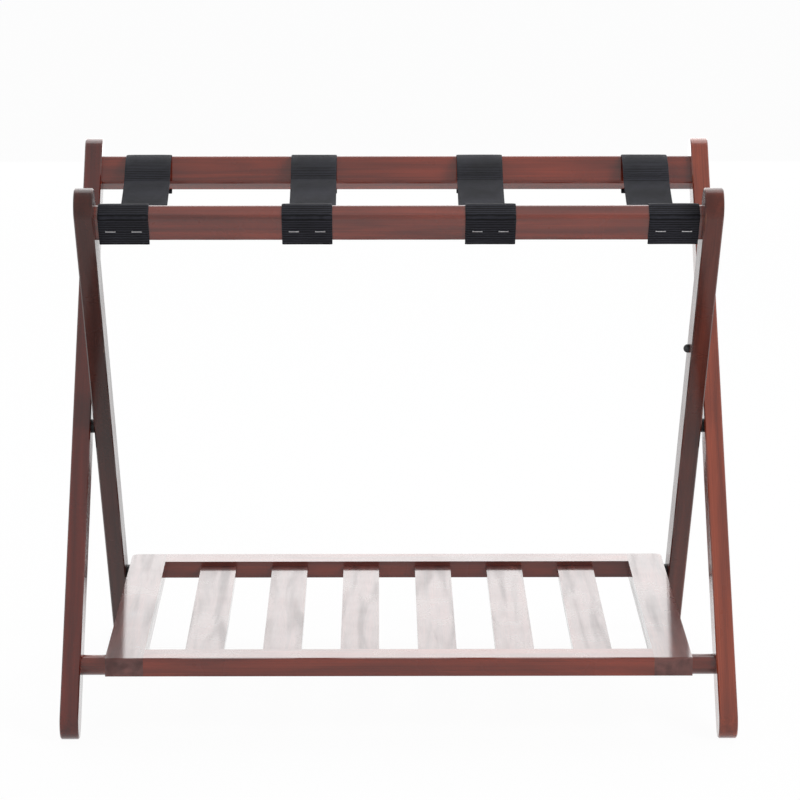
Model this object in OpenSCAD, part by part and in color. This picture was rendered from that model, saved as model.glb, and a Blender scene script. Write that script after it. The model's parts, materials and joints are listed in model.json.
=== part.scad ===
// Folding luggage rack with a slatted shelf.
// Two leg frames cross on a pivot bolt at each side. Four webbing straps join their top rails and
// stop them opening further. The shelf is hinged to the inner frame at the back, and its underside
// has a cove that drops over the outer frame's front bar.
// Millimetres, +Z up, +X to the right, -Y to the front. The rack stands on z = 0.

/* [Leg frames] */
// Width over the outer legs
rack_w = 686; // [560:1:800]
// Angle of each leg frame from the vertical, with the rack open
leg_angle = 38.7; // [34:0.1:41]
// Distance from the crossing to the centre of either rounded leg end
arm_len = 337.5; // [320:0.5:420]
// Width of a leg, seen from the side
leg_w = 36; // [32:0.5:44]
// Thickness of a leg, seen from the front
leg_t = 19; // [17:0.5:26]
// Length of the small flat that each foot stands on
foot_flat = 11; // [6:0.5:16]
// Bevel that eases the long edges of a leg
leg_ease = 1.2; // [0.4:0.1:2]
// Gap between an outer and an inner leg, filled by the pivot spacer
leg_gap = 4; // [3:0.1:8]

/* [Top rails] */
// Width of a top rail, along its leg
rail_w = 35; // [30:0.5:44]
// Thickness of a top rail
rail_t = 18; // [16:0.5:24]
// Radius of a top rail's edges
rail_edge_r = 3.5; // [2:0.1:6]
// Distance from the crossing to the middle of a top rail
rail_pos = 314; // [290:0.5:330]

/* [Front bar] */
// Diameter of the round bar between the outer legs
bar_d = 21; // [18:0.5:28]
// Distance from the crossing to the bar's axis
bar_pos = 275; // [255:0.5:290]
// Diameter of the tenon turned on each end of the bar
bar_tenon_d = 14; // [10:0.5:17]
// Depth of that tenon in the leg
bar_tenon_len = 10; // [6:0.5:12]

/* [Shelf] */
// Distance from the crossing to the shelf's hinge, along the inner leg
hinge_pos = 252; // [235:0.5:262]
// Gap between the shelf and each inner leg, filled by the hinge spacer
shelf_gap = 4; // [3:0.1:8]
// Thickness of the end boards and shelf rails
board_t = 18.5; // [16:0.5:24]
// Width of an end board
end_board_w = 38.5; // [32:0.5:60]
// How deep the front bar sits in the cove under the shelf
cove_depth = 9.25; // [6:0.25:10]
// Clearance between the cove and the bar
cove_clear = 0.35; // [0.3:0.05:1]
// How far the shelf reaches in front of the bar's axis
shelf_nose = 46; // [30:1:48]
// How far the shelf reaches behind its hinge
shelf_tail = 38; // [20:1:40]
// Depth of the shelf's front rail, front to back
front_rail_w = 34; // [22:0.5:35]
// Depth of the shelf's rear rail, front to back
rear_rail_w = 33; // [16:0.5:40]
// Radius along the front upper edge of the shelf
shelf_edge_r = 4; // [2:0.5:7]
// Radius of the shelf's two rear corners
shelf_corner_r = 8; // [4:0.5:14]
// Number of slats
slat_count = 6; // [4:1:7]
// Width of a slat
slat_w = 39.5; // [30:0.5:50]
// Thickness of a slat
slat_t = 8; // [6:0.5:9]
// How far the slats lie below the top of the shelf's rails
slat_drop = 5.2; // [3:0.1:6]
// Depth of the slat ends in their mortises
slat_tongue = 8; // [4:0.5:12]

/* [Straps] */
// Number of straps
strap_count = 4; // [3:1:5]
// Width of the webbing
strap_w = 50; // [40:1:60]
// Thickness of the webbing
strap_t = 1.6; // [1.2:0.1:2.4]
// Gap between an end strap and the inner leg beside it
strap_side = 3.5; // [2:0.5:12]
// Length of webbing that lies flat on a rail's outer face
strap_tail = 28; // [20:1:30]

/* [Hardware] */
// Shank diameter of the pivot bolts at the crossing
pivot_bolt_d = 8; // [6:0.5:10]
// Shank diameter of the shelf's hinge bolts
hinge_bolt_d = 6; // [5:0.5:8]
// Outer diameter of the round spacers
spacer_d = 14.5; // [12:0.5:20]
// Shank diameter of the frame screws
screw_d = 4.5; // [4:0.5:6]
// Length of the frame screws
screw_len = 50; // [45:1:60]
// Diameter of the wood dowels in the shelf
dowel_d = 8; // [6:0.5:10]
// Depth of a shelf dowel in each piece
dowel_depth = 15; // [10:1:18]
// Diameter of the dome bumper
bumper_d = 9; // [7:0.5:12]
// How far the bumper stands off the leg
bumper_h = 6; // [5.5:0.5:8]
// Distance from the crossing to the bumper, along the inner leg
bumper_pos = 124; // [100:1:180]

/* [Hidden] */
$fn = 48;

// Sides
RIGHT = 1;
LEFT = -1;

// Clearances
run_clear = 0.06;       // radial, round a bolt that turns in its bore
thread_clear = 0.02;    // radial, round a screw, insert or dowel that is fixed
joint_clear = 0.1;      // round a tenon or slat end that is glued in
side_clear = 0.15;      // between a spacer and the piece that turns against it
strap_clear = 0.3;      // between the webbing and a rail
head_sink = 0.4;        // how far a screw head lies below the wood
eps = 0.02;             // overrun of a cutting shape

// Across the rack
outer_face_x = rack_w / 2;
outer_inside_x = outer_face_x - leg_t;
inner_outside_x = outer_inside_x - leg_gap;
inner_inside_x = inner_outside_x - leg_t;
shelf_half_w = inner_inside_x - shelf_gap;
board_inside_x = shelf_half_w - end_board_w;

// Legs and crossing
leg_r = leg_w / 2;
foot_cut = leg_r - sqrt(pow(leg_r, 2) - pow(foot_flat / 2, 2));
pivot_z = arm_len * cos(leg_angle) + leg_r - foot_cut;

// Bar and shelf hinge in the side view
bar_r = bar_d / 2;
bar_y = -bar_pos * sin(leg_angle);
bar_z = pivot_z - bar_pos * cos(leg_angle);
hinge_y = hinge_pos * sin(leg_angle);
hinge_z = pivot_z - hinge_pos * cos(leg_angle);
bar_reach = norm([hinge_y - bar_y, hinge_z - bar_z]);

// Shelf in its own frame: hinge at the origin, front towards -Y, middle of the boards at z = 0
bar_below = board_t / 2 + bar_r - cove_depth;
bar_along = sqrt(pow(bar_reach, 2) - pow(bar_below, 2));
shelf_tilt = atan2(hinge_z - bar_z, hinge_y - bar_y) - asin(bar_below / bar_reach);
shelf_front = bar_along + shelf_nose;
shelf_top = board_t / 2;
front_rail_back = shelf_front - front_rail_w;
rear_rail_front = rear_rail_w - shelf_tail;
slat_span = 2 * board_inside_x;
slat_space = (slat_span - slat_count * slat_w) / (slat_count + 1);

// Screws, bolts and inserts
head_ratio = 2;         // head diameter over shank diameter
pivot_insert_d = 12;
pivot_insert_len = 13;
pivot_bolt_len = leg_t + leg_gap + pivot_insert_len - head_sink;
hinge_insert_d = 10;
hinge_insert_len = 18;
hinge_bolt_len = leg_t + shelf_gap + hinge_insert_len - head_sink;
rail_screw_off = rail_w / 4;
bumper_stem_d = 4;
bumper_stem_len = 8;

// Staples
staple_crown = 10;
staple_leg = 8;
staple_wire = 1.2;
staple_thick = 0.6;
staple_gap = 26;        // between the two staples of a strap
staple_clear = 0.1;

// Colours
MAHOGANY = "#5a2018";
LACQUER = "#6e2c20";
WEBBING = "#1b1c20";
BLACK = "#161616";
STEEL = "#b9bcc0";
BRASS = "#b08d4a";
BEECH = "#c79a66";

// ---- Places ----

// Outer frame: its legs lean back, from the front feet to the rear top rail
module in_outer_frame()
    translate([0, 0, pivot_z]) rotate([-leg_angle, 0, 0]) children();

// Inner frame: its legs lean forward, from the rear feet to the front top rail
module in_inner_frame()
    translate([0, 0, pivot_z]) rotate([leg_angle, 0, 0]) children();

module in_shelf()
    translate([0, hinge_y, hinge_z]) rotate([shelf_tilt, 0, 0]) children();

// A shape drawn for the right side, put on either side
module on_side(side)
    if (side == LEFT) mirror([1, 0, 0]) children();
    else children();

// Turns a shape's +Z to point inwards from the right side, starting at x
module inwards(x)
    translate([x, 0, 0]) rotate([0, -90, 0]) children();

// ---- Shared shapes ----

// Rectangle with round corners
module round_rect(w, h, r) {
    square([w, h - 2 * r], center = true);
    square([w - 2 * r, h], center = true);
    for (x = [-1, 1], y = [-1, 1])
        translate([x * (w / 2 - r), y * (h / 2 - r)]) circle(r);
}

// Runs a side view, drawn as Y and Z, across the rack from x0 to x1
module across(x0, x1)
    translate([x0, 0, 0]) rotate([90, 0, 90]) linear_extrude(x1 - x0) children();

// Disc with bevelled rims that closes a leg end
module leg_end() {
    cylinder(h = leg_ease, r1 = leg_r - leg_ease, r2 = leg_r);
    translate([0, 0, leg_ease]) cylinder(h = leg_t - 2 * leg_ease, r = leg_r);
    translate([0, 0, leg_t - leg_ease]) cylinder(h = leg_ease, r1 = leg_r, r2 = leg_r - leg_ease);
}

// Leg along Z with its crossing at the origin and its outer face at x_out
module leg_blank(x_out) {
    half_t = leg_t / 2;
    translate([x_out - half_t, 0, -arm_len])
        linear_extrude(2 * arm_len)
            polygon([
                [-half_t + leg_ease, -leg_r], [half_t - leg_ease, -leg_r],
                [half_t, -leg_r + leg_ease], [half_t, leg_r - leg_ease],
                [half_t - leg_ease, leg_r], [-half_t + leg_ease, leg_r],
                [-half_t, leg_r - leg_ease], [-half_t, -leg_r + leg_ease]
            ]);
    for (z = [-arm_len, arm_len])
        translate([0, 0, z]) inwards(x_out) leg_end();
}

// Everything below the floor
module below_floor()
    translate([0, 0, -leg_w]) cube([2 * rack_w, 4 * arm_len, 2 * leg_w], center = true);

// Flat-head screw along +Z, its head flush with z = 0
module flat_head(d, length) {
    head_h = d * (head_ratio - 1) / 2;
    difference() {
        union() {
            cylinder(h = head_h, d1 = d * head_ratio, d2 = d);
            translate([0, 0, head_h]) cylinder(h = length - head_h, d = d);
        }
        translate([0, 0, -eps]) cylinder(h = d * 0.4, d = d * 0.75, $fn = 6);
    }
}

// Countersunk hole for flat_head(), sunk below the face at z = 0
module flat_head_hole(d, length, clear) {
    head_h = d * (head_ratio - 1) / 2;
    translate([0, 0, -eps]) cylinder(h = head_sink + eps, d = d * head_ratio + 2 * clear);
    translate([0, 0, head_sink])
        cylinder(h = head_h, d1 = d * head_ratio + 2 * clear, d2 = d + 2 * clear);
    cylinder(h = head_sink + length + clear, d = d + 2 * clear);
}

// Threaded insert along +Z with a blind end
module insert(d, bore_d, length)
    difference() {
        cylinder(h = length, d = d);
        translate([0, 0, -eps]) cylinder(h = length - 1, d = bore_d + 2 * thread_clear);
    }

// Round spacer along +Z
module spacer(bore_d, thick)
    difference() {
        cylinder(h = thick, d = spacer_d);
        translate([0, 0, -eps]) cylinder(h = thick + 2 * eps, d = bore_d + 2 * run_clear);
    }

// ---- Outer frame ----

// Places of the screws in an outer leg: two in the rear top rail, one in the front bar
outer_screw_z = [rail_pos - rail_screw_off, rail_pos + rail_screw_off, -bar_pos];

module outer_leg(side)
    color(MAHOGANY)
    difference() {
        in_outer_frame() on_side(side) difference() {
            leg_blank(outer_face_x);
            inwards(outer_face_x) flat_head_hole(pivot_bolt_d, pivot_bolt_len, run_clear);
            translate([0, 0, -bar_pos]) inwards(outer_inside_x + bar_tenon_len)
                cylinder(h = bar_tenon_len + eps, d = bar_tenon_d + joint_clear);
            for (z = outer_screw_z)
                translate([0, 0, z]) inwards(outer_face_x)
                    flat_head_hole(screw_d, screw_len, thread_clear);
        }
        below_floor();
    }

module top_rail(x_end)
    difference() {
        translate([0, 0, rail_pos]) across(-x_end, x_end)
            round_rect(rail_t, rail_w, rail_edge_r);
        children();
    }

module rear_top_rail()
    color(LACQUER)
    in_outer_frame() top_rail(outer_inside_x) {
        union() {
            for (side = [LEFT, RIGHT], z = [-rail_screw_off, rail_screw_off])
                translate([0, 0, rail_pos + z]) on_side(side) inwards(outer_face_x)
                    flat_head_hole(screw_d, screw_len, thread_clear);
            for (i = [0 : strap_count - 1])
                staple_slots(strap_x(i), RIGHT);
        }
    }

module front_bar()
    color(LACQUER)
    in_outer_frame() translate([0, 0, -bar_pos]) difference() {
        union() {
            across(-outer_inside_x, outer_inside_x) circle(bar_r);
            across(-outer_inside_x - bar_tenon_len + joint_clear,
                   outer_inside_x + bar_tenon_len - joint_clear) circle(d = bar_tenon_d);
        }
        for (side = [LEFT, RIGHT])
            on_side(side) inwards(outer_face_x) flat_head_hole(screw_d, screw_len, thread_clear);
    }

module outer_frame_screws()
    color(BRASS)
    in_outer_frame()
        for (side = [LEFT, RIGHT], z = outer_screw_z)
            translate([0, 0, z]) on_side(side) inwards(outer_face_x - head_sink)
                flat_head(screw_d, screw_len);

// ---- Inner frame ----

module inner_leg(side)
    color(MAHOGANY)
    difference() {
        in_inner_frame() on_side(side) difference() {
            leg_blank(inner_outside_x);
            inwards(inner_outside_x + eps)
                cylinder(h = pivot_insert_len + eps, d = pivot_insert_d + 2 * thread_clear);
            translate([0, 0, -hinge_pos]) inwards(inner_outside_x)
                flat_head_hole(hinge_bolt_d, hinge_bolt_len, run_clear);
            for (z = [-rail_screw_off, rail_screw_off])
                translate([0, 0, rail_pos + z]) inwards(inner_outside_x)
                    flat_head_hole(screw_d, screw_len, thread_clear);
            if (side == RIGHT)
                translate([0, 0, bumper_pos]) inwards(inner_inside_x + bumper_stem_len)
                    cylinder(h = bumper_stem_len + eps, d = bumper_stem_d + 2 * thread_clear);
        }
        below_floor();
    }

module front_top_rail()
    color(LACQUER)
    in_inner_frame() top_rail(inner_inside_x) {
        union() {
            for (side = [LEFT, RIGHT], z = [-rail_screw_off, rail_screw_off])
                translate([0, 0, rail_pos + z]) on_side(side) inwards(inner_outside_x)
                    flat_head_hole(screw_d, screw_len, thread_clear);
            for (i = [0 : strap_count - 1])
                staple_slots(strap_x(i), LEFT);
        }
    }

module inner_frame_screws()
    color(BRASS)
    in_inner_frame()
        for (side = [LEFT, RIGHT], z = [-rail_screw_off, rail_screw_off])
            translate([0, 0, rail_pos + z]) on_side(side) inwards(inner_outside_x - head_sink)
                flat_head(screw_d, screw_len);

// Dome that stops the raised shelf against the inner leg
module bumper()
    color(BLACK)
    in_inner_frame() translate([0, 0, bumper_pos]) inwards(inner_inside_x) {
        translate([0, 0, -bumper_stem_len + joint_clear])
            cylinder(h = bumper_stem_len, d = bumper_stem_d);
        rotate_extrude() {
            square([bumper_d / 2, bumper_h - bumper_d / 2]);
            intersection() {
                translate([0, bumper_h - bumper_d / 2]) circle(d = bumper_d);
                square([bumper_d, bumper_h]);
            }
        }
    }

// ---- Crossing ----

module pivot_bolt(side)
    color(STEEL)
    in_inner_frame() on_side(side) inwards(outer_face_x - head_sink)
        flat_head(pivot_bolt_d, pivot_bolt_len - 2);

module pivot_spacer(side)
    color(BLACK)
    in_inner_frame() on_side(side) inwards(outer_inside_x - side_clear)
        spacer(pivot_bolt_d, leg_gap - side_clear);

module pivot_insert(side)
    color(BRASS)
    in_inner_frame() on_side(side) inwards(inner_outside_x)
        insert(pivot_insert_d, pivot_bolt_d, pivot_insert_len);

// ---- Shelf ----

// The front bar with its clearance, and the path it takes out of the cove as the legs fold
module bar_path()
    in_outer_frame() {
        clear_r = bar_r + cove_clear;
        translate([0, 0, -bar_pos]) across(-rack_w / 2, rack_w / 2) circle(clear_r);
        intersection() {
            across(-rack_w / 2, rack_w / 2) difference() {
                circle(bar_pos + clear_r, $fn = 96);
                circle(bar_pos - clear_r, $fn = 96);
            }
            translate([-rack_w / 2, 0, -bar_pos - bar_d]) cube([rack_w, 3 * bar_d, 2 * bar_d]);
        }
    }

// Side view of the boards between two distances from the hinge, front edge rounded above
module board_side(front, back, edge_r)
    difference() {
        translate([-front, -board_t / 2]) square([front - back, board_t]);
        translate([-front, shelf_top]) difference() {
            square(2 * edge_r, center = true);
            translate([edge_r, -edge_r]) circle(edge_r);
        }
    }

// Holes or dowels that join the shelf's rails to its end boards
module shelf_dowel_set(clear)
    for (side = [LEFT, RIGHT],
         y = [-shelf_front + front_rail_w * 0.3, -shelf_front + front_rail_w * 0.7,
              shelf_tail - rear_rail_w * 0.7, shelf_tail - rear_rail_w * 0.3])
        on_side(side) translate([0, y, 0]) inwards(board_inside_x + dowel_depth)
            cylinder(h = 2 * dowel_depth, d = dowel_d + 2 * clear);

module shelf_end_board(side)
    color(LACQUER)
    difference() {
        in_shelf() on_side(side) difference() {
            across(board_inside_x, shelf_half_w) board_side(shelf_front, -shelf_tail, shelf_edge_r);
            translate([shelf_half_w, shelf_tail, 0]) difference() {
                cube([2 * shelf_corner_r, 2 * shelf_corner_r, 2 * board_t], center = true);
                translate([-shelf_corner_r, -shelf_corner_r, 0])
                    cylinder(h = 3 * board_t, r = shelf_corner_r, center = true);
            }
            inwards(shelf_half_w + eps)
                cylinder(h = hinge_insert_len + eps, d = hinge_insert_d + 2 * thread_clear);
            shelf_dowel_set(thread_clear);
        }
        bar_path();
    }

// Place of slat i, from 0 at the left
function slat_x(i) = -slat_span / 2 + slat_space + slat_w / 2 + i * (slat_w + slat_space);

// Slat i in the shelf's frame, larger all round by clear
module slat_blank(i, clear)
    translate([slat_x(i) - slat_w / 2 - clear, -front_rail_back - slat_tongue - clear,
               shelf_top - slat_drop - slat_t - clear])
        cube([slat_w + 2 * clear,
              front_rail_back - rear_rail_front + 2 * slat_tongue + 2 * clear,
              slat_t + 2 * clear]);

module shelf_front_rail()
    color(LACQUER)
    difference() {
        in_shelf() difference() {
            across(-board_inside_x, board_inside_x)
                board_side(shelf_front, front_rail_back, shelf_edge_r);
            for (i = [0 : slat_count - 1]) slat_blank(i, joint_clear);
            shelf_dowel_set(thread_clear);
        }
        bar_path();
    }

module shelf_rear_rail()
    color(LACQUER)
    in_shelf() difference() {
        across(-board_inside_x, board_inside_x)
            translate([-rear_rail_front, -board_t / 2]) square([rear_rail_w, board_t]);
        for (i = [0 : slat_count - 1]) slat_blank(i, joint_clear);
        shelf_dowel_set(thread_clear);
    }

module shelf_slat(i)
    color(LACQUER)
    difference() {
        in_shelf() slat_blank(i, 0);
        bar_path();
    }

module shelf_dowels()
    color(BEECH) in_shelf() shelf_dowel_set(0);

module hinge_bolt(side)
    color(STEEL)
    in_inner_frame() translate([0, 0, -hinge_pos]) on_side(side)
        inwards(inner_outside_x - head_sink) flat_head(hinge_bolt_d, hinge_bolt_len - 2);

module hinge_spacer(side)
    color(BLACK)
    in_shelf() on_side(side) inwards(inner_inside_x - side_clear)
        spacer(hinge_bolt_d, shelf_gap - side_clear);

module hinge_insert(side)
    color(BRASS)
    in_shelf() on_side(side) inwards(shelf_half_w)
        insert(hinge_insert_d, hinge_bolt_d, hinge_insert_len);

// ---- Straps ----

strap_span = 2 * (inner_inside_x - strap_side) - strap_w;

// Place of strap i, from 0 at the left
function strap_x(i) = -strap_span / 2 + i * strap_span / (strap_count - 1);

// Line round the front rail at a distance off its surface, as [across the rail, along the leg]
function wrap_line(off) =
    let (
        r = rail_edge_r + off,
        n = rail_t / 2 - rail_edge_r,
        s = rail_pos + rail_w / 2 - rail_edge_r
    )
    concat(
        [[-rail_t / 2 - off, s - strap_tail]],
        [for (k = [0 : 6]) [-n + r * cos(180 - 15 * k), s + r * sin(180 - 15 * k)]],
        [for (k = [0 : 4])
            [n + r * cos(90 - leg_angle * k / 4), s + r * sin(90 - leg_angle * k / 4)]]
    );

// The same line in the side view, as Y and Z
function front_line(off) =
    [for (p = wrap_line(off))
        [p[0] * cos(leg_angle) - p[1] * sin(leg_angle),
         pivot_z + p[0] * sin(leg_angle) + p[1] * cos(leg_angle)]];

// The whole line of a strap: up the front rail, across, and down the rear rail
function strap_line(off) =
    let (front = front_line(off))
    concat(front, [for (i = [len(front) - 1 : -1 : 0]) [-front[i][0], front[i][1]]]);

function reversed(list) = [for (i = [len(list) - 1 : -1 : 0]) list[i]];

// Places of a staple's two legs on a strap, across the rack
staple_leg_x = [
    for (side = [-1, 1], leg = [-1, 1])
        side * staple_gap / 2 + leg * (staple_crown - staple_wire) / 2
];
staple_z = rail_pos - 1;

// Slots for the staple legs at x, in a frame's own place; facing is LEFT on the front rail
module staple_slots(x, facing)
    for (dx = staple_leg_x)
        translate([x + dx, facing * rail_t / 2, staple_z])
            cube([staple_wire + 2 * staple_clear, 2 * staple_leg, staple_thick + 2 * staple_clear],
                 center = true);

// The two staples of the strap at x
module staple_pair(x, facing) {
    seat = rail_t / 2 + strap_clear + strap_t + staple_clear;
    for (side = [-1, 1])
        translate([x + side * staple_gap / 2 - staple_crown / 2,
                   facing > 0 ? seat : -seat - staple_thick, staple_z - staple_thick / 2])
            cube([staple_crown, staple_thick, staple_thick]);
    for (dx = staple_leg_x)
        translate([x + dx - staple_wire / 2,
                   facing > 0 ? seat - staple_leg : -seat, staple_z - staple_thick / 2])
            cube([staple_wire, staple_leg, staple_thick]);
}

module strap(i)
    color(WEBBING)
    difference() {
        translate([strap_x(i), 0, 0]) across(-strap_w / 2, strap_w / 2)
            polygon(concat(strap_line(strap_clear + strap_t), reversed(strap_line(strap_clear))));
        in_inner_frame() staple_slots(strap_x(i), LEFT);
        in_outer_frame() staple_slots(strap_x(i), RIGHT);
    }

module front_staples()
    color(STEEL) in_inner_frame()
        for (i = [0 : strap_count - 1]) staple_pair(strap_x(i), LEFT);

module rear_staples()
    color(STEEL) in_outer_frame()
        for (i = [0 : strap_count - 1]) staple_pair(strap_x(i), RIGHT);

// ---- Nodes ----

outer_leg(LEFT);  // outer_leg_left
outer_leg(RIGHT);  // outer_leg_right
rear_top_rail();
front_bar();
outer_frame_screws();
inner_leg(LEFT);  // inner_leg_left
inner_leg(RIGHT);  // inner_leg_right
front_top_rail();
inner_frame_screws();
bumper();
pivot_bolt(LEFT);  // pivot_bolt_left
pivot_bolt(RIGHT);  // pivot_bolt_right
pivot_spacer(LEFT);  // pivot_spacer_left
pivot_spacer(RIGHT);  // pivot_spacer_right
pivot_insert(LEFT);  // pivot_insert_left
pivot_insert(RIGHT);  // pivot_insert_right
shelf_end_board(LEFT);  // shelf_end_board_left
shelf_end_board(RIGHT);  // shelf_end_board_right
shelf_front_rail();
shelf_rear_rail();
shelf_slat(0);  // shelf_slat_1
shelf_slat(1);  // shelf_slat_2
shelf_slat(2);  // shelf_slat_3
shelf_slat(3);  // shelf_slat_4
shelf_slat(4);  // shelf_slat_5
shelf_slat(5);  // shelf_slat_6
shelf_dowels();
hinge_bolt(LEFT);  // hinge_bolt_left
hinge_bolt(RIGHT);  // hinge_bolt_right
hinge_spacer(LEFT);  // hinge_spacer_left
hinge_spacer(RIGHT);  // hinge_spacer_right
hinge_insert(LEFT);  // hinge_insert_left
hinge_insert(RIGHT);  // hinge_insert_right
strap(0);  // strap_1
strap(1);  // strap_2
strap(2);  // strap_3
strap(3);  // strap_4
front_staples();
rear_staples();
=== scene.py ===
import json
import math
import random

import bmesh
import bpy
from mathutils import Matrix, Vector


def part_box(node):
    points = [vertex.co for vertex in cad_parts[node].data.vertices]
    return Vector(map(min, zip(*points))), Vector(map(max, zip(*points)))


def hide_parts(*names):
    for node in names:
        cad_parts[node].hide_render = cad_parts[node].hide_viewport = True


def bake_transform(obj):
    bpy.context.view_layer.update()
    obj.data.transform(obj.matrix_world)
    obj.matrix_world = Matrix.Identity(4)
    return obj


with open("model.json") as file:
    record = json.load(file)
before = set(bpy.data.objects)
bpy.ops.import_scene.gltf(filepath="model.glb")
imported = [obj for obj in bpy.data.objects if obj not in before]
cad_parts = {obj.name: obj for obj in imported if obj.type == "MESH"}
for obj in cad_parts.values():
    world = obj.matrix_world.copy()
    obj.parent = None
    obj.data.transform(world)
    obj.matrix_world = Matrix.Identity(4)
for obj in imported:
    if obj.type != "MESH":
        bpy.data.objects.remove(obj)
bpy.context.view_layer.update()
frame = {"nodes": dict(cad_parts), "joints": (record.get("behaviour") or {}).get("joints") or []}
nodes = frame["nodes"]
joints = {j["name"]: j for j in frame["joints"]}

# ---- Legs ----
# Four straight legs of solid wood, two to a frame, rounded at both ends and eased along the edges.
# They are stained deep red-brown, with painted light and shade in each leg's colour, and sprayed with clear
# gloss lacquer, which rubs through along the edges.

# Each leg's colour is partly its stain and partly painted light: the right outer leg is painted much lighter,
# as the light from the right falls on it, and the legs differ from each other partly by this painted light
# and shade.
LEG_STAIN_AND_PAINTED_LIGHT = {
    "outer_leg_left": ((0.170, 0.018, 0.008), (0.075, 0.008, 0.004)),
    "inner_leg_left": ((0.085, 0.017, 0.010), (0.034, 0.008, 0.005)),
    "inner_leg_right": ((0.150, 0.029, 0.015), (0.070, 0.013, 0.007)),
    "outer_leg_right": ((0.360, 0.064, 0.024), (0.190, 0.030, 0.012)),
}
OUTER_COAT = 0.9
INNER_COAT = 0.45
GRAIN_STRETCH = 14.0        # how much longer than wide the grain runs
BARE_WOOD = (0.30, 0.15, 0.085, 1)
EDGE_RADIUS = 0.0016        # width of the edge that gets rubbed


def middle(node):
    """The middle of a CAD node's box."""
    low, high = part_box(node)
    return (Vector(low) + Vector(high)) / 2


crossing = Vector(joints["fold"]["pos_m"])
top = middle("rear_top_rail") - crossing
LEAN = math.atan2(top.y, top.z)         # of a leg from upright


def node_adder(tree):
    """A function that adds a node to a tree, with its settings and the sockets that feed it."""
    def add(kind, settings=None, **links):
        made = tree.nodes.new(kind)
        for key, value in (settings or {}).items():
            if key in made.inputs:
                made.inputs[key].default_value = value
            else:
                setattr(made, key, value)
        for key, source in links.items():
            tree.links.new(source, made.inputs[key.replace("_", " ")])
        return made

    return add


def node_material(name):
    """A new material, with its node tree, its Principled shader and its node adder."""
    material = bpy.data.materials.new(name)
    material.use_nodes = True
    tree = material.node_tree
    return material, tree, tree.nodes["Principled BSDF"], node_adder(tree)


def ramp(add, source, *stops):
    """A colour ramp over source, with stops of (position, colour)."""
    made = add("ShaderNodeValToRGB", Fac=source)
    points = made.color_ramp.elements
    while len(points) < len(stops):
        points.new(0.5)
    for point, (position, colour) in zip(points, stops):
        point.position = position
        point.color = (*colour, 1)
    return made.outputs["Color"]


def multiplied(tree, add, share, under, over):
    """One colour darkened by another, by a share of its full strength."""
    mixed = add("ShaderNodeMix", {"data_type": "RGBA", "blend_type": "MULTIPLY", "Factor": share})
    tree.links.new(under, mixed.inputs["A"])
    tree.links.new(over, mixed.inputs["B"])
    return mixed.outputs["Result"]


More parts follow.
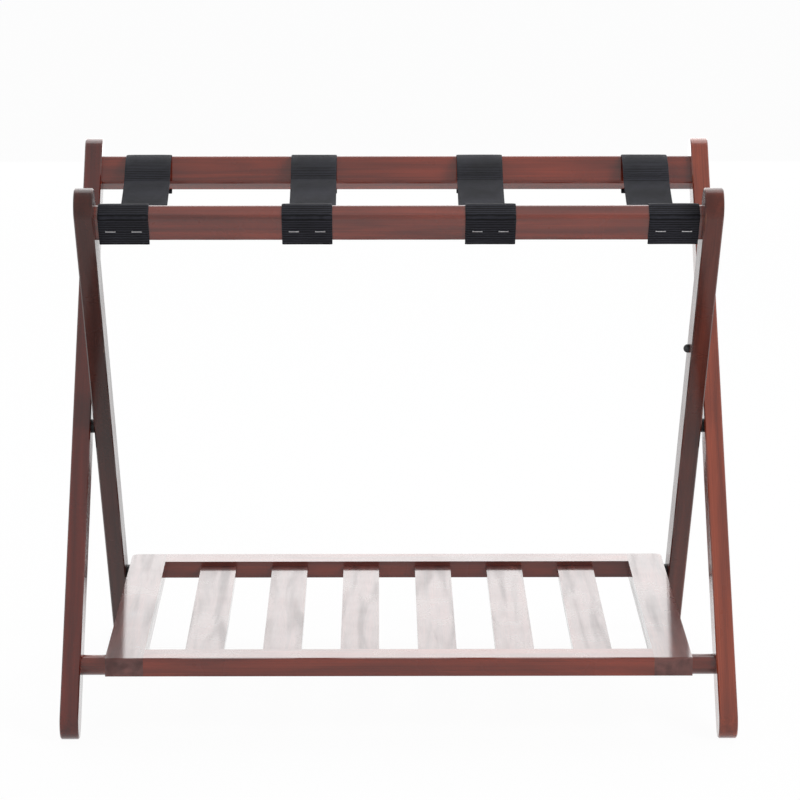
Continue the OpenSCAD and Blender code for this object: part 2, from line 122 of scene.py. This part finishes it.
def stained_wood(name, pale, dark, along, shift, wear=0.5, coat=1.0, streaks=0.0):
    """Stained, lacquered hardwood. along turns the grain, in radians, and shift moves it between pieces."""
    material, tree, shader, add = node_material(name)
    link = tree.links.new
    place = add("ShaderNodeTexCoord").outputs["Object"]
    turned = add("ShaderNodeMapping", {"Rotation": along, "Location": shift}, Vector=place)
    long_grain = add("ShaderNodeMapping", {"Scale": (GRAIN_STRETCH, GRAIN_STRETCH, 1.0)},
                     Vector=turned.outputs["Vector"])

    bands = add("ShaderNodeTexNoise", {"Scale": 5.0, "Detail": 3.0, "Distortion": 0.6},
                Vector=long_grain.outputs["Vector"])
    rings = add("ShaderNodeTexWave", {"Scale": 1.6, "Distortion": 7.0, "Detail": 3.0, "Detail Scale": 1.2,
                                      "bands_direction": "X"}, Vector=long_grain.outputs["Vector"])
    pore_place = add("ShaderNodeMapping", {"Scale": (9.0, 9.0, 0.35)}, Vector=long_grain.outputs["Vector"])
    pores = add("ShaderNodeTexNoise", {"Scale": 12.0, "Detail": 4.0, "Roughness": 0.7},
                Vector=pore_place.outputs["Vector"])
    pooled = add("ShaderNodeTexNoise", {"Scale": 9.0, "Detail": 2.0}, Vector=turned.outputs["Vector"])

    body = ramp(add, bands.outputs["Fac"], (0.3, dark), (0.72, pale))
    ring_tint = ramp(add, rings.outputs["Fac"], (0.1, (0.55, 0.5, 0.5)), (0.8, (1.0, 1.0, 1.0)))
    pore_tint = ramp(add, pores.outputs["Fac"], (0.36, (0.35, 0.3, 0.3)), (0.52, (1.0, 1.0, 1.0)))
    pool_tint = ramp(add, pooled.outputs["Fac"], (0.35, (0.72, 0.66, 0.66)), (0.65, (1.15, 1.1, 1.1)))
    ringed = multiplied(tree, add, 0.35, body, ring_tint)
    fine = multiplied(tree, add, 0.5, ringed, pore_tint)
    tinted = multiplied(tree, add, 0.4, fine, pool_tint)

    rounded = add("ShaderNodeBevel", {"Radius": EDGE_RADIUS})
    edge = add("ShaderNodeVectorMath", {"operation": "DOT_PRODUCT"})
    link(rounded.outputs["Normal"], edge.inputs[0])
    link(add("ShaderNodeNewGeometry").outputs["Normal"], edge.inputs[1])
    rubbed = add("ShaderNodeTexNoise", {"Scale": 55.0, "Detail": 4.0}, Vector=place)
    edge_mask = add("ShaderNodeMapRange", {"From Min": 0.985, "From Max": 0.90}, Value=edge.outputs["Value"])
    rub_mask = add("ShaderNodeMapRange", {"From Min": 0.60, "From Max": 0.74, "To Max": wear},
                   Value=rubbed.outputs["Fac"])
    worn = add("ShaderNodeMath", {"operation": "MULTIPLY"})
    link(edge_mask.outputs["Result"], worn.inputs[0])
    link(rub_mask.outputs["Result"], worn.inputs[1])
    final = add("ShaderNodeMix", {"data_type": "RGBA"}, Factor=worn.outputs["Value"])
    link(tinted, final.inputs["A"])
    final.inputs["B"].default_value = BARE_WOOD
    link(final.outputs["Result"], shader.inputs["Base Color"])

    smears = add("ShaderNodeTexNoise", {"Scale": 22.0, "Detail": 3.0}, Vector=turned.outputs["Vector"])
    sheen_range = add("ShaderNodeMapRange", {"From Min": 0.3, "From Max": 0.7,
                                             "To Min": 0.24, "To Max": 0.36}, Value=smears.outputs["Fac"])
    link(sheen_range.outputs["Result"], shader.inputs["Roughness"])
    bump = add("ShaderNodeBump", {"Strength": 0.22, "Distance": 0.0004}, Height=pores.outputs["Fac"])
    peel = add("ShaderNodeTexNoise", {"Scale": 260.0, "Detail": 1.0}, Vector=place)
    skin = add("ShaderNodeBump", {"Strength": 0.06, "Distance": 0.0004}, Height=peel.outputs["Fac"])
    link(bump.outputs["Normal"], shader.inputs["Normal"])
    link(skin.outputs["Normal"], shader.inputs["Coat Normal"])
    shader.inputs["Specular IOR Level"].default_value = 0.12
    shader.inputs["Coat Weight"].default_value = coat
    if streaks:
        patchy = ramp(add, bands.outputs["Fac"], (0.32, (coat - streaks,) * 3), (0.52, (coat,) * 3))
        link(patchy, shader.inputs["Coat Weight"])
    shader.inputs["Coat Roughness"].default_value = 0.09
    shader.inputs["Coat IOR"].default_value = 1.52
    return material


def paint(node, material):
    """Gives a CAD node one material all over."""
    nodes[node].data.materials.clear()
    nodes[node].data.materials.append(material)


for number, (leg, (pale, dark)) in enumerate(LEG_STAIN_AND_PAINTED_LIGHT.items()):
    is_outer = leg.startswith("outer")
    lean = LEAN if is_outer else -LEAN
    coat = OUTER_COAT if is_outer else INNER_COAT
    wood = stained_wood(f"stained_{leg}", pale, dark, (lean, 0, 0), (0.31 * number, 0.17, 0.0),
                        wear=0.8, coat=coat)
    paint(leg, wood)

# ---- Top rails and front bar ----
# The rails are straight bars of the same wood, screwed between the legs, their edges rounded by a router.
# The round front bar is turned, with a tenon glued into each outer leg.

RAIL_PALE = (0.270, 0.036, 0.014)
RAIL_DARK = (0.120, 0.015, 0.007)
ACROSS = (0, math.radians(90), 0)
for number, rail in enumerate(("rear_top_rail", "front_top_rail", "front_bar")):
    paint(rail, stained_wood(f"stained_{rail}", RAIL_PALE, RAIL_DARK, ACROSS, (0.1, 0.23 * number, 0.4)))

# ---- Shelf ----
# Two end boards, two rails between them on wood dowels, and slats let into the rails below their tops.
# The boards are cut from the same wood, and their lacquer is patchy in its shine.

SHELF_PALE = (0.200, 0.060, 0.048)
SHELF_DARK = (0.080, 0.020, 0.016)
FRONT_TO_BACK = (math.radians(90), 0, 0)
boards = [n for n in nodes if n.startswith("shelf_end_board") or n.startswith("shelf_slat")]
for number, board in enumerate(sorted(boards)):
    wood = stained_wood(f"stained_{board}", SHELF_PALE, SHELF_DARK, FRONT_TO_BACK,
                        (0.37 * number, 0.11, 0.29 * number), wear=0.35, streaks=0.3)
    paint(board, wood)
for number, rail in enumerate(("shelf_front_rail", "shelf_rear_rail")):
    paint(rail, stained_wood(f"stained_{rail}", RAIL_PALE, RAIL_DARK, ACROSS, (0.5, 0.19 * number, 0.7)))


def bare_beech():
    """The dowels between the rails and the end boards: plain beech, glued, and hidden in their holes."""
    material, tree, shader, add = node_material("bare_beech")
    place = add("ShaderNodeTexCoord").outputs["Object"]
    flecks = add("ShaderNodeTexNoise", {"Scale": 180.0, "Detail": 3.0}, Vector=place)
    colour = ramp(add, flecks.outputs["Fac"], (0.35, (0.45, 0.28, 0.15)), (0.65, (0.62, 0.42, 0.25)))
    tree.links.new(colour, shader.inputs["Base Color"])
    shader.inputs["Roughness"].default_value = 0.65
    return material


paint("shelf_dowels", bare_beech())

# ---- Bolts, inserts and screws ----
# Flat-head bolts of zinc-plated steel hold the crossings and the shelf's hinge, and turn in threaded inserts.
# The inserts and the wood screws share one yellow metal finish.


def plated_metal(name, pale, dark, rough):
    """Plated metal, mottled a little in its colour and its polish."""
    material, tree, shader, add = node_material(name)
    place = add("ShaderNodeTexCoord").outputs["Object"]
    turned = add("ShaderNodeTexNoise", {"Scale": 420.0, "Detail": 3.0}, Vector=place)
    tree.links.new(ramp(add, turned.outputs["Fac"], (0.3, dark), (0.7, pale)), shader.inputs["Base Color"])
    worn = add("ShaderNodeMapRange", {"To Min": rough * 0.7, "To Max": rough * 1.4},
               Value=turned.outputs["Fac"])
    tree.links.new(worn.outputs["Result"], shader.inputs["Roughness"])
    shader.inputs["Metallic"].default_value = 1.0
    return material


steel = plated_metal("zinc_plated_steel", (0.66, 0.67, 0.69), (0.42, 0.43, 0.45), 0.28)
brass = plated_metal("yellow_passivated_steel", (0.62, 0.47, 0.22), (0.38, 0.27, 0.12), 0.32)
for node in nodes:
    if "bolt" in node:
        paint(node, steel)
    elif "insert" in node or node.endswith("frame_screws"):
        paint(node, brass)

# ---- Spacers and bumper ----
# Black nylon washers keep the legs, and the shelf, from rubbing. The bumper is a soft black rubber dome
# pressed into the right inner leg, which the raised shelf rests against.


def moulded_black(name, colour, rough, grain):
    """Moulded nylon or rubber, a little dusty, with a fine grain to its skin."""
    material, tree, shader, add = node_material(name)
    place = add("ShaderNodeTexCoord").outputs["Object"]
    dust = add("ShaderNodeTexNoise", {"Scale": grain, "Detail": 4.0}, Vector=place)
    dusty = tuple(2.4 * c for c in colour)
    tree.links.new(ramp(add, dust.outputs["Fac"], (0.4, colour), (0.75, dusty)), shader.inputs["Base Color"])
    tone = add("ShaderNodeMapRange", {"To Min": rough * 0.8, "To Max": rough * 1.25},
               Value=dust.outputs["Fac"])
    tree.links.new(tone.outputs["Result"], shader.inputs["Roughness"])
    bump = add("ShaderNodeBump", {"Strength": 0.15, "Distance": 0.0002}, Height=dust.outputs["Fac"])
    tree.links.new(bump.outputs["Normal"], shader.inputs["Normal"])
    return material


nylon = moulded_black("black_nylon", (0.010, 0.010, 0.011), 0.42, 900.0)
for node in nodes:
    if "spacer" in node:
        paint(node, nylon)
paint("bumper", moulded_black("black_rubber", (0.009, 0.009, 0.010), 0.34, 600.0))

# ---- Straps ----
# Flat black polyester webbing, two inches wide, woven with ribs across it and a firm selvedge at each side.
# Each piece is cut to length, folded over both top rails and stapled to their outer faces, a little slack.

WEB_THICK = 0.0014
WEB_LIFT = 0.0001           # between the webbing and the wood
WEB_TAIL = 0.0345           # from the rail's rounded edge down to the cut end
RIB_PITCH = 0.0021
RIB_HEIGHT = 0.00022
YARN_STRAY = 0.00003        # how far a yarn strays from its rib
SELVEDGE = 0.10             # share of the half width that thins towards the edge
SELVEDGE_THINS = 0.62       # how much of the thickness is gone at the very edge
ACROSS_STRAP = (-1.0, -0.985, -0.955, -0.90, -0.6, -0.3, 0.0, 0.3, 0.6, 0.90, 0.955, 0.985, 1.0)
SAG = (0.056, 0.052, 0.054, 0.058)
TWIST = (0.9, -0.7, 0.5, -1.1)        # degrees at mid-span
RAIL_EDGE = 0.0035          # radius of a top rail's edges
RAIL_THICK = 0.018
RAIL_WIDE = 0.035
TAIL_STEPS = 14
OUTER_EDGE_STEPS = 8
INNER_EDGE_STEPS = 6
SPAN_STEPS = 96
SPAN_EASE = 9.0             # how soon the sag sets in beside a rail
rail_middle = {-1: middle("front_top_rail"), 1: middle("rear_top_rail")}


def along_leg(side, down, out):
    """A point beside the front (-1) or rear (1) rail: down from the rail's top, and out from its middle."""
    reach = RAIL_WIDE - down
    rail = rail_middle[side]
    lean = side * LEAN
    y = rail.y + math.sin(lean) * (reach - RAIL_WIDE / 2) - side * math.cos(lean) * out
    z = rail.z + math.cos(lean) * (reach - RAIL_WIDE / 2) + math.sin(LEAN) * out
    return Vector((0, y, z))


def half_run(side, lift, tail):
    """One strap end as points in Y and Z: up the rail's outer face and round both of its upper edges."""
    radius = RAIL_EDGE + lift
    edge = RAIL_THICK / 2 - RAIL_EDGE
    points = []
    for step in range(TAIL_STEPS + 1):
        down = RAIL_EDGE + tail * (1 - step / TAIL_STEPS)
        points.append(along_leg(side, down, -RAIL_THICK / 2 - lift))
    for step in range(1, OUTER_EDGE_STEPS + 1):
        turn = math.radians(180 - 90 * step / OUTER_EDGE_STEPS)
        points.append(along_leg(side, RAIL_EDGE - radius * math.sin(turn), -edge + radius * math.cos(turn)))
    for step in range(INNER_EDGE_STEPS + 1):
        turn = math.radians(90) - LEAN * step / INNER_EDGE_STEPS
        points.append(along_leg(side, RAIL_EDGE - radius * math.sin(turn), edge + radius * math.cos(turn)))
    return points


def strap_run(lift, tail, sag):
    """The whole strap line, front to rear, with the span sagging between the rails."""
    front = half_run(-1, lift, tail)
    rear = half_run(1, lift, tail)
    a, b = front[-1], rear[-1]
    span = []
    for step in range(1, SPAN_STEPS):
        t = step / SPAN_STEPS
        droop = sag * (1 - (2 * t - 1) ** 2) * min(1.0, SPAN_EASE * t, SPAN_EASE * (1 - t))
        span.append(a.lerp(b, t) - Vector((0, 0, droop)))
    return front + span + rear[::-1]


def evenly(points, pitch):
    """The same line with points a pitch apart."""
    out = [points[0].copy()]
    left = pitch
    for a, b in zip(points, points[1:]):
        length = (b - a).length
        while length >= left:
            a = a + (b - a) * (left / length)
            out.append(a.copy())
            length = (b - a).length
            left = pitch
        left -= length
    if (out[-1] - points[-1]).length > pitch * 0.3:
        out.append(points[-1].copy())
    return out


def webbing_mesh(name, x_mid, width, line, twist):
    """Ribbed webbing along a line: a rib is a low ridge across the strap, and both selvedges are thinner."""
    mesh = bmesh.new()
    rings = []
    for number, point in enumerate(line):
        before, after = line[max(number - 1, 0)], line[min(number + 1, len(line) - 1)]
        run = (after - before).normalized()
        up = Vector((0, -run.z, run.y))
        t = number / (len(line) - 1)
        lean = math.radians(twist) * math.sin(math.pi * t) ** 2
        rib = RIB_HEIGHT * (0.5 if number % 2 else -0.5)
        top, under = [], []
        for place in ACROSS_STRAP:
            edge = max(0.0, (abs(place) - (1 - SELVEDGE)) / SELVEDGE)
            thick = WEB_THICK * (1 - SELVEDGE_THINS * edge ** 3)
            ridge = rib if abs(place) < 1 - SELVEDGE else 0
            stray = random.uniform(-YARN_STRAY, YARN_STRAY)
            base = Vector((x_mid + place * width / 2, point.y, point.z))
            base += Vector((0, 0, place * width / 2 * math.sin(lean)))
            centre = base + up * WEB_THICK / 2
            top.append(mesh.verts.new(centre + up * (thick / 2 + ridge + stray)))
            under.append(mesh.verts.new(centre - up * (thick / 2)))
        rings.append(top + under[::-1])
    for a, b in zip(rings, rings[1:]):
        for i in range(len(a)):
            j = (i + 1) % len(a)
            mesh.faces.new((a[i], a[j], b[j], b[i]))
    mesh.faces.new(rings[0][::-1])
    mesh.faces.new(rings[-1])
    bmesh.ops.recalc_face_normals(mesh, faces=mesh.faces)
    data = bpy.data.meshes.new(name)
    mesh.to_mesh(data)
    mesh.free()
    for face in data.polygons:
        face.use_smooth = True
    made = bpy.data.objects.new(name, data)
    bpy.context.scene.collection.objects.link(made)
    return made


def black_webbing():
    """Matt black yarn: fine yarns crossed by picks, in a black that is faintly blue in patches."""
    material, tree, shader, add = node_material("black_webbing")
    link = tree.links.new
    place = add("ShaderNodeTexCoord").outputs["Object"]
    yarn = add("ShaderNodeTexWave", {"Scale": 310.0, "Distortion": 0.6, "Detail": 2.0,
                                     "bands_direction": "X"}, Vector=place)
    pick = add("ShaderNodeTexWave", {"Scale": 150.0, "Distortion": 0.8, "Detail": 1.0,
                                     "bands_direction": "Y"}, Vector=place)
    woven = add("ShaderNodeMath", {"operation": "MULTIPLY"})
    link(yarn.outputs["Fac"], woven.inputs[0])
    link(pick.outputs["Fac"], woven.inputs[1])
    base = ramp(add, woven.outputs["Value"], (0.08, (0.0020, 0.0020, 0.0028)), (0.62, (0.042, 0.043, 0.052)))
    bloom = add("ShaderNodeTexNoise", {"Scale": 16.0, "Detail": 4.0}, Vector=place)
    tone = ramp(add, bloom.outputs["Fac"], (0.35, (0.75, 0.75, 0.78)), (0.7, (1.25, 1.25, 1.35)))
    link(multiplied(tree, add, 1.0, base, tone), shader.inputs["Base Color"])
    bump = add("ShaderNodeBump", {"Strength": 0.5, "Distance": 0.0004}, Height=woven.outputs["Value"])
    link(bump.outputs["Normal"], shader.inputs["Normal"])
    shader.inputs["Roughness"].default_value = 0.7
    shader.inputs["Specular IOR Level"].default_value = 0.14
    shader.inputs["Sheen Weight"].default_value = 0.04
    shader.inputs["Sheen Roughness"].default_value = 0.4
    shader.inputs["Sheen Tint"].default_value = (0.6, 0.65, 0.8, 1)
    return material


random.seed(7)
webbing = black_webbing()
for number, (sag, twist) in enumerate(zip(SAG, TWIST)):
    node = f"strap_{number + 1}"
    low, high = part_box(node)
    line = evenly(strap_run(WEB_LIFT, WEB_TAIL, sag), RIB_PITCH / 2)
    width = high[0] - low[0]
    strap = webbing_mesh(f"webbing_{number + 1}", (low[0] + high[0]) / 2, width, line, twist)
    strap.data.materials.append(webbing)
    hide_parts(node)
    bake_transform(strap)

# ---- Staples ----
# Two bright steel wire staples hold each strap end, driven through the webbing into the rail.

staple_wire = plated_metal("staple_wire", (0.95, 0.95, 0.96), (0.75, 0.75, 0.77), 0.38)
for node in ("front_staples", "rear_staples"):
    paint(node, staple_wire)

# ---- Studio ----
# A plain pale floor, a room that is pale behind the rack and dim in front, and four broad soft lamps.
# The camera looks at the rack straight on, from a little above it.

FLOOR_HALF = 16.0
FLOOR_LIFT = 0.96           # how far the seen floor is lifted from its lit colour to white
DIM_ROOM = 0.16             # strength of the room on the camera's side
LAMP_AIM = Vector((0, 0, 0.28))
WHITE = (1, 1, 1, 1)


def plainly_seen(tree, add):
    """1 for camera, glossy and transmission rays, and 0 for the light that falls on the rack."""
    ray = add("ShaderNodeLightPath")
    mirrored = add("ShaderNodeMath", {"operation": "MAXIMUM"})
    tree.links.new(ray.outputs["Is Glossy Ray"], mirrored.inputs[0])
    tree.links.new(ray.outputs["Is Transmission Ray"], mirrored.inputs[1])
    seen = add("ShaderNodeMath", {"operation": "MAXIMUM"})
    tree.links.new(ray.outputs["Is Camera Ray"], seen.inputs[0])
    tree.links.new(mirrored.outputs["Value"], seen.inputs[1])
    return seen.outputs["Value"]


def pale_floor():
    """Near-white floor, lifted to white where the camera or a reflection sees it, under a soft shadow."""
    material, tree, shader, add = node_material("pale_floor")
    link = tree.links.new
    shader.inputs["Base Color"].default_value = (0.9, 0.9, 0.91, 1)
    shader.inputs["Roughness"].default_value = 0.9
    share = add("ShaderNodeMath", {"operation": "MULTIPLY"})
    link(plainly_seen(tree, add), share.inputs[0])
    share.inputs[1].default_value = FLOOR_LIFT
    white = add("ShaderNodeEmission", {"Color": WHITE, "Strength": 1.0})
    mixed = add("ShaderNodeMixShader", Fac=share.outputs["Value"])
    link(shader.outputs["BSDF"], mixed.inputs[1])
    link(white.outputs["Emission"], mixed.inputs[2])
    link(mixed.outputs["Shader"], tree.nodes["Material Output"].inputs["Surface"])
    return material


floor_mesh = bmesh.new()
bmesh.ops.create_grid(floor_mesh, x_segments=2, y_segments=2, size=FLOOR_HALF)
floor_data = bpy.data.meshes.new("studio_floor")
floor_mesh.to_mesh(floor_data)
floor_mesh.free()
floor = bpy.data.objects.new("studio_floor", floor_data)
bpy.context.scene.collection.objects.link(floor)
floor.data.materials.append(pale_floor())

world = bpy.data.worlds.new("studio")
bpy.context.scene.world = world
world.use_nodes = True
sky = world.node_tree
add_sky = node_adder(sky)
direction = add_sky("ShaderNodeTexCoord").outputs["Generated"]
parts = add_sky("ShaderNodeSeparateXYZ", Vector=direction)
behind = add_sky("ShaderNodeMapRange", {"From Min": -0.15, "From Max": 0.75,
                                        "To Min": DIM_ROOM, "To Max": 1.0}, Value=parts.outputs["Y"])
surround = sky.nodes["Background"]
surround.inputs["Color"].default_value = (0.95, 0.96, 1.0, 1)
sky.links.new(behind.outputs["Result"], surround.inputs["Strength"])
seen_room = add_sky("ShaderNodeBackground", {"Color": WHITE, "Strength": 1.0})
blended = add_sky("ShaderNodeMixShader", Fac=plainly_seen(sky, add_sky))
sky.links.new(surround.outputs["Background"], blended.inputs[1])
sky.links.new(seen_room.outputs["Background"], blended.inputs[2])
sky.links.new(blended.outputs["Shader"], sky.nodes["World Output"].inputs["Surface"])


def soft_lamp(name, place, size, power):
    """A square area lamp aimed at the middle of the rack."""
    lamp = bpy.data.lights.new(name, "AREA")
    lamp.size = size
    lamp.energy = power
    made = bpy.data.objects.new(name, lamp)
    made.location = place
    aim = LAMP_AIM - Vector(place)
    made.rotation_euler = aim.to_track_quat("-Z", "Y").to_euler()
    made.visible_camera = False
    bpy.context.scene.collection.objects.link(made)


soft_lamp("key_right", (2.0, -1.6, 1.9), 1.4, 42)
soft_lamp("fill_left", (-2.2, -1.8, 1.5), 1.8, 12)
soft_lamp("top_back", (0.2, 1.2, 2.4), 2.0, 26)
soft_lamp("low_back", (0.0, 4.2, 1.35), 4.2, 60)

CAMERA_PLACE = (-0.0199, -3.6272, 1.0111)
CAMERA_PITCH = 10.966       # degrees below level
CAMERA_YAW = 0.353          # degrees to the right
CAMERA_LENS = 156.96        # mm, on a 36 mm sensor
camera_data = bpy.data.cameras.new("camera")
camera_data.lens = CAMERA_LENS
camera_data.sensor_width = 36
camera = bpy.data.objects.new("camera", camera_data)
camera.location = CAMERA_PLACE
camera.rotation_euler = (math.radians(90 - CAMERA_PITCH), 0, math.radians(-CAMERA_YAW))
bpy.context.scene.collection.objects.link(camera)
bpy.context.scene.camera = camera
bpy.context.scene.view_settings.view_transform = "Standard"
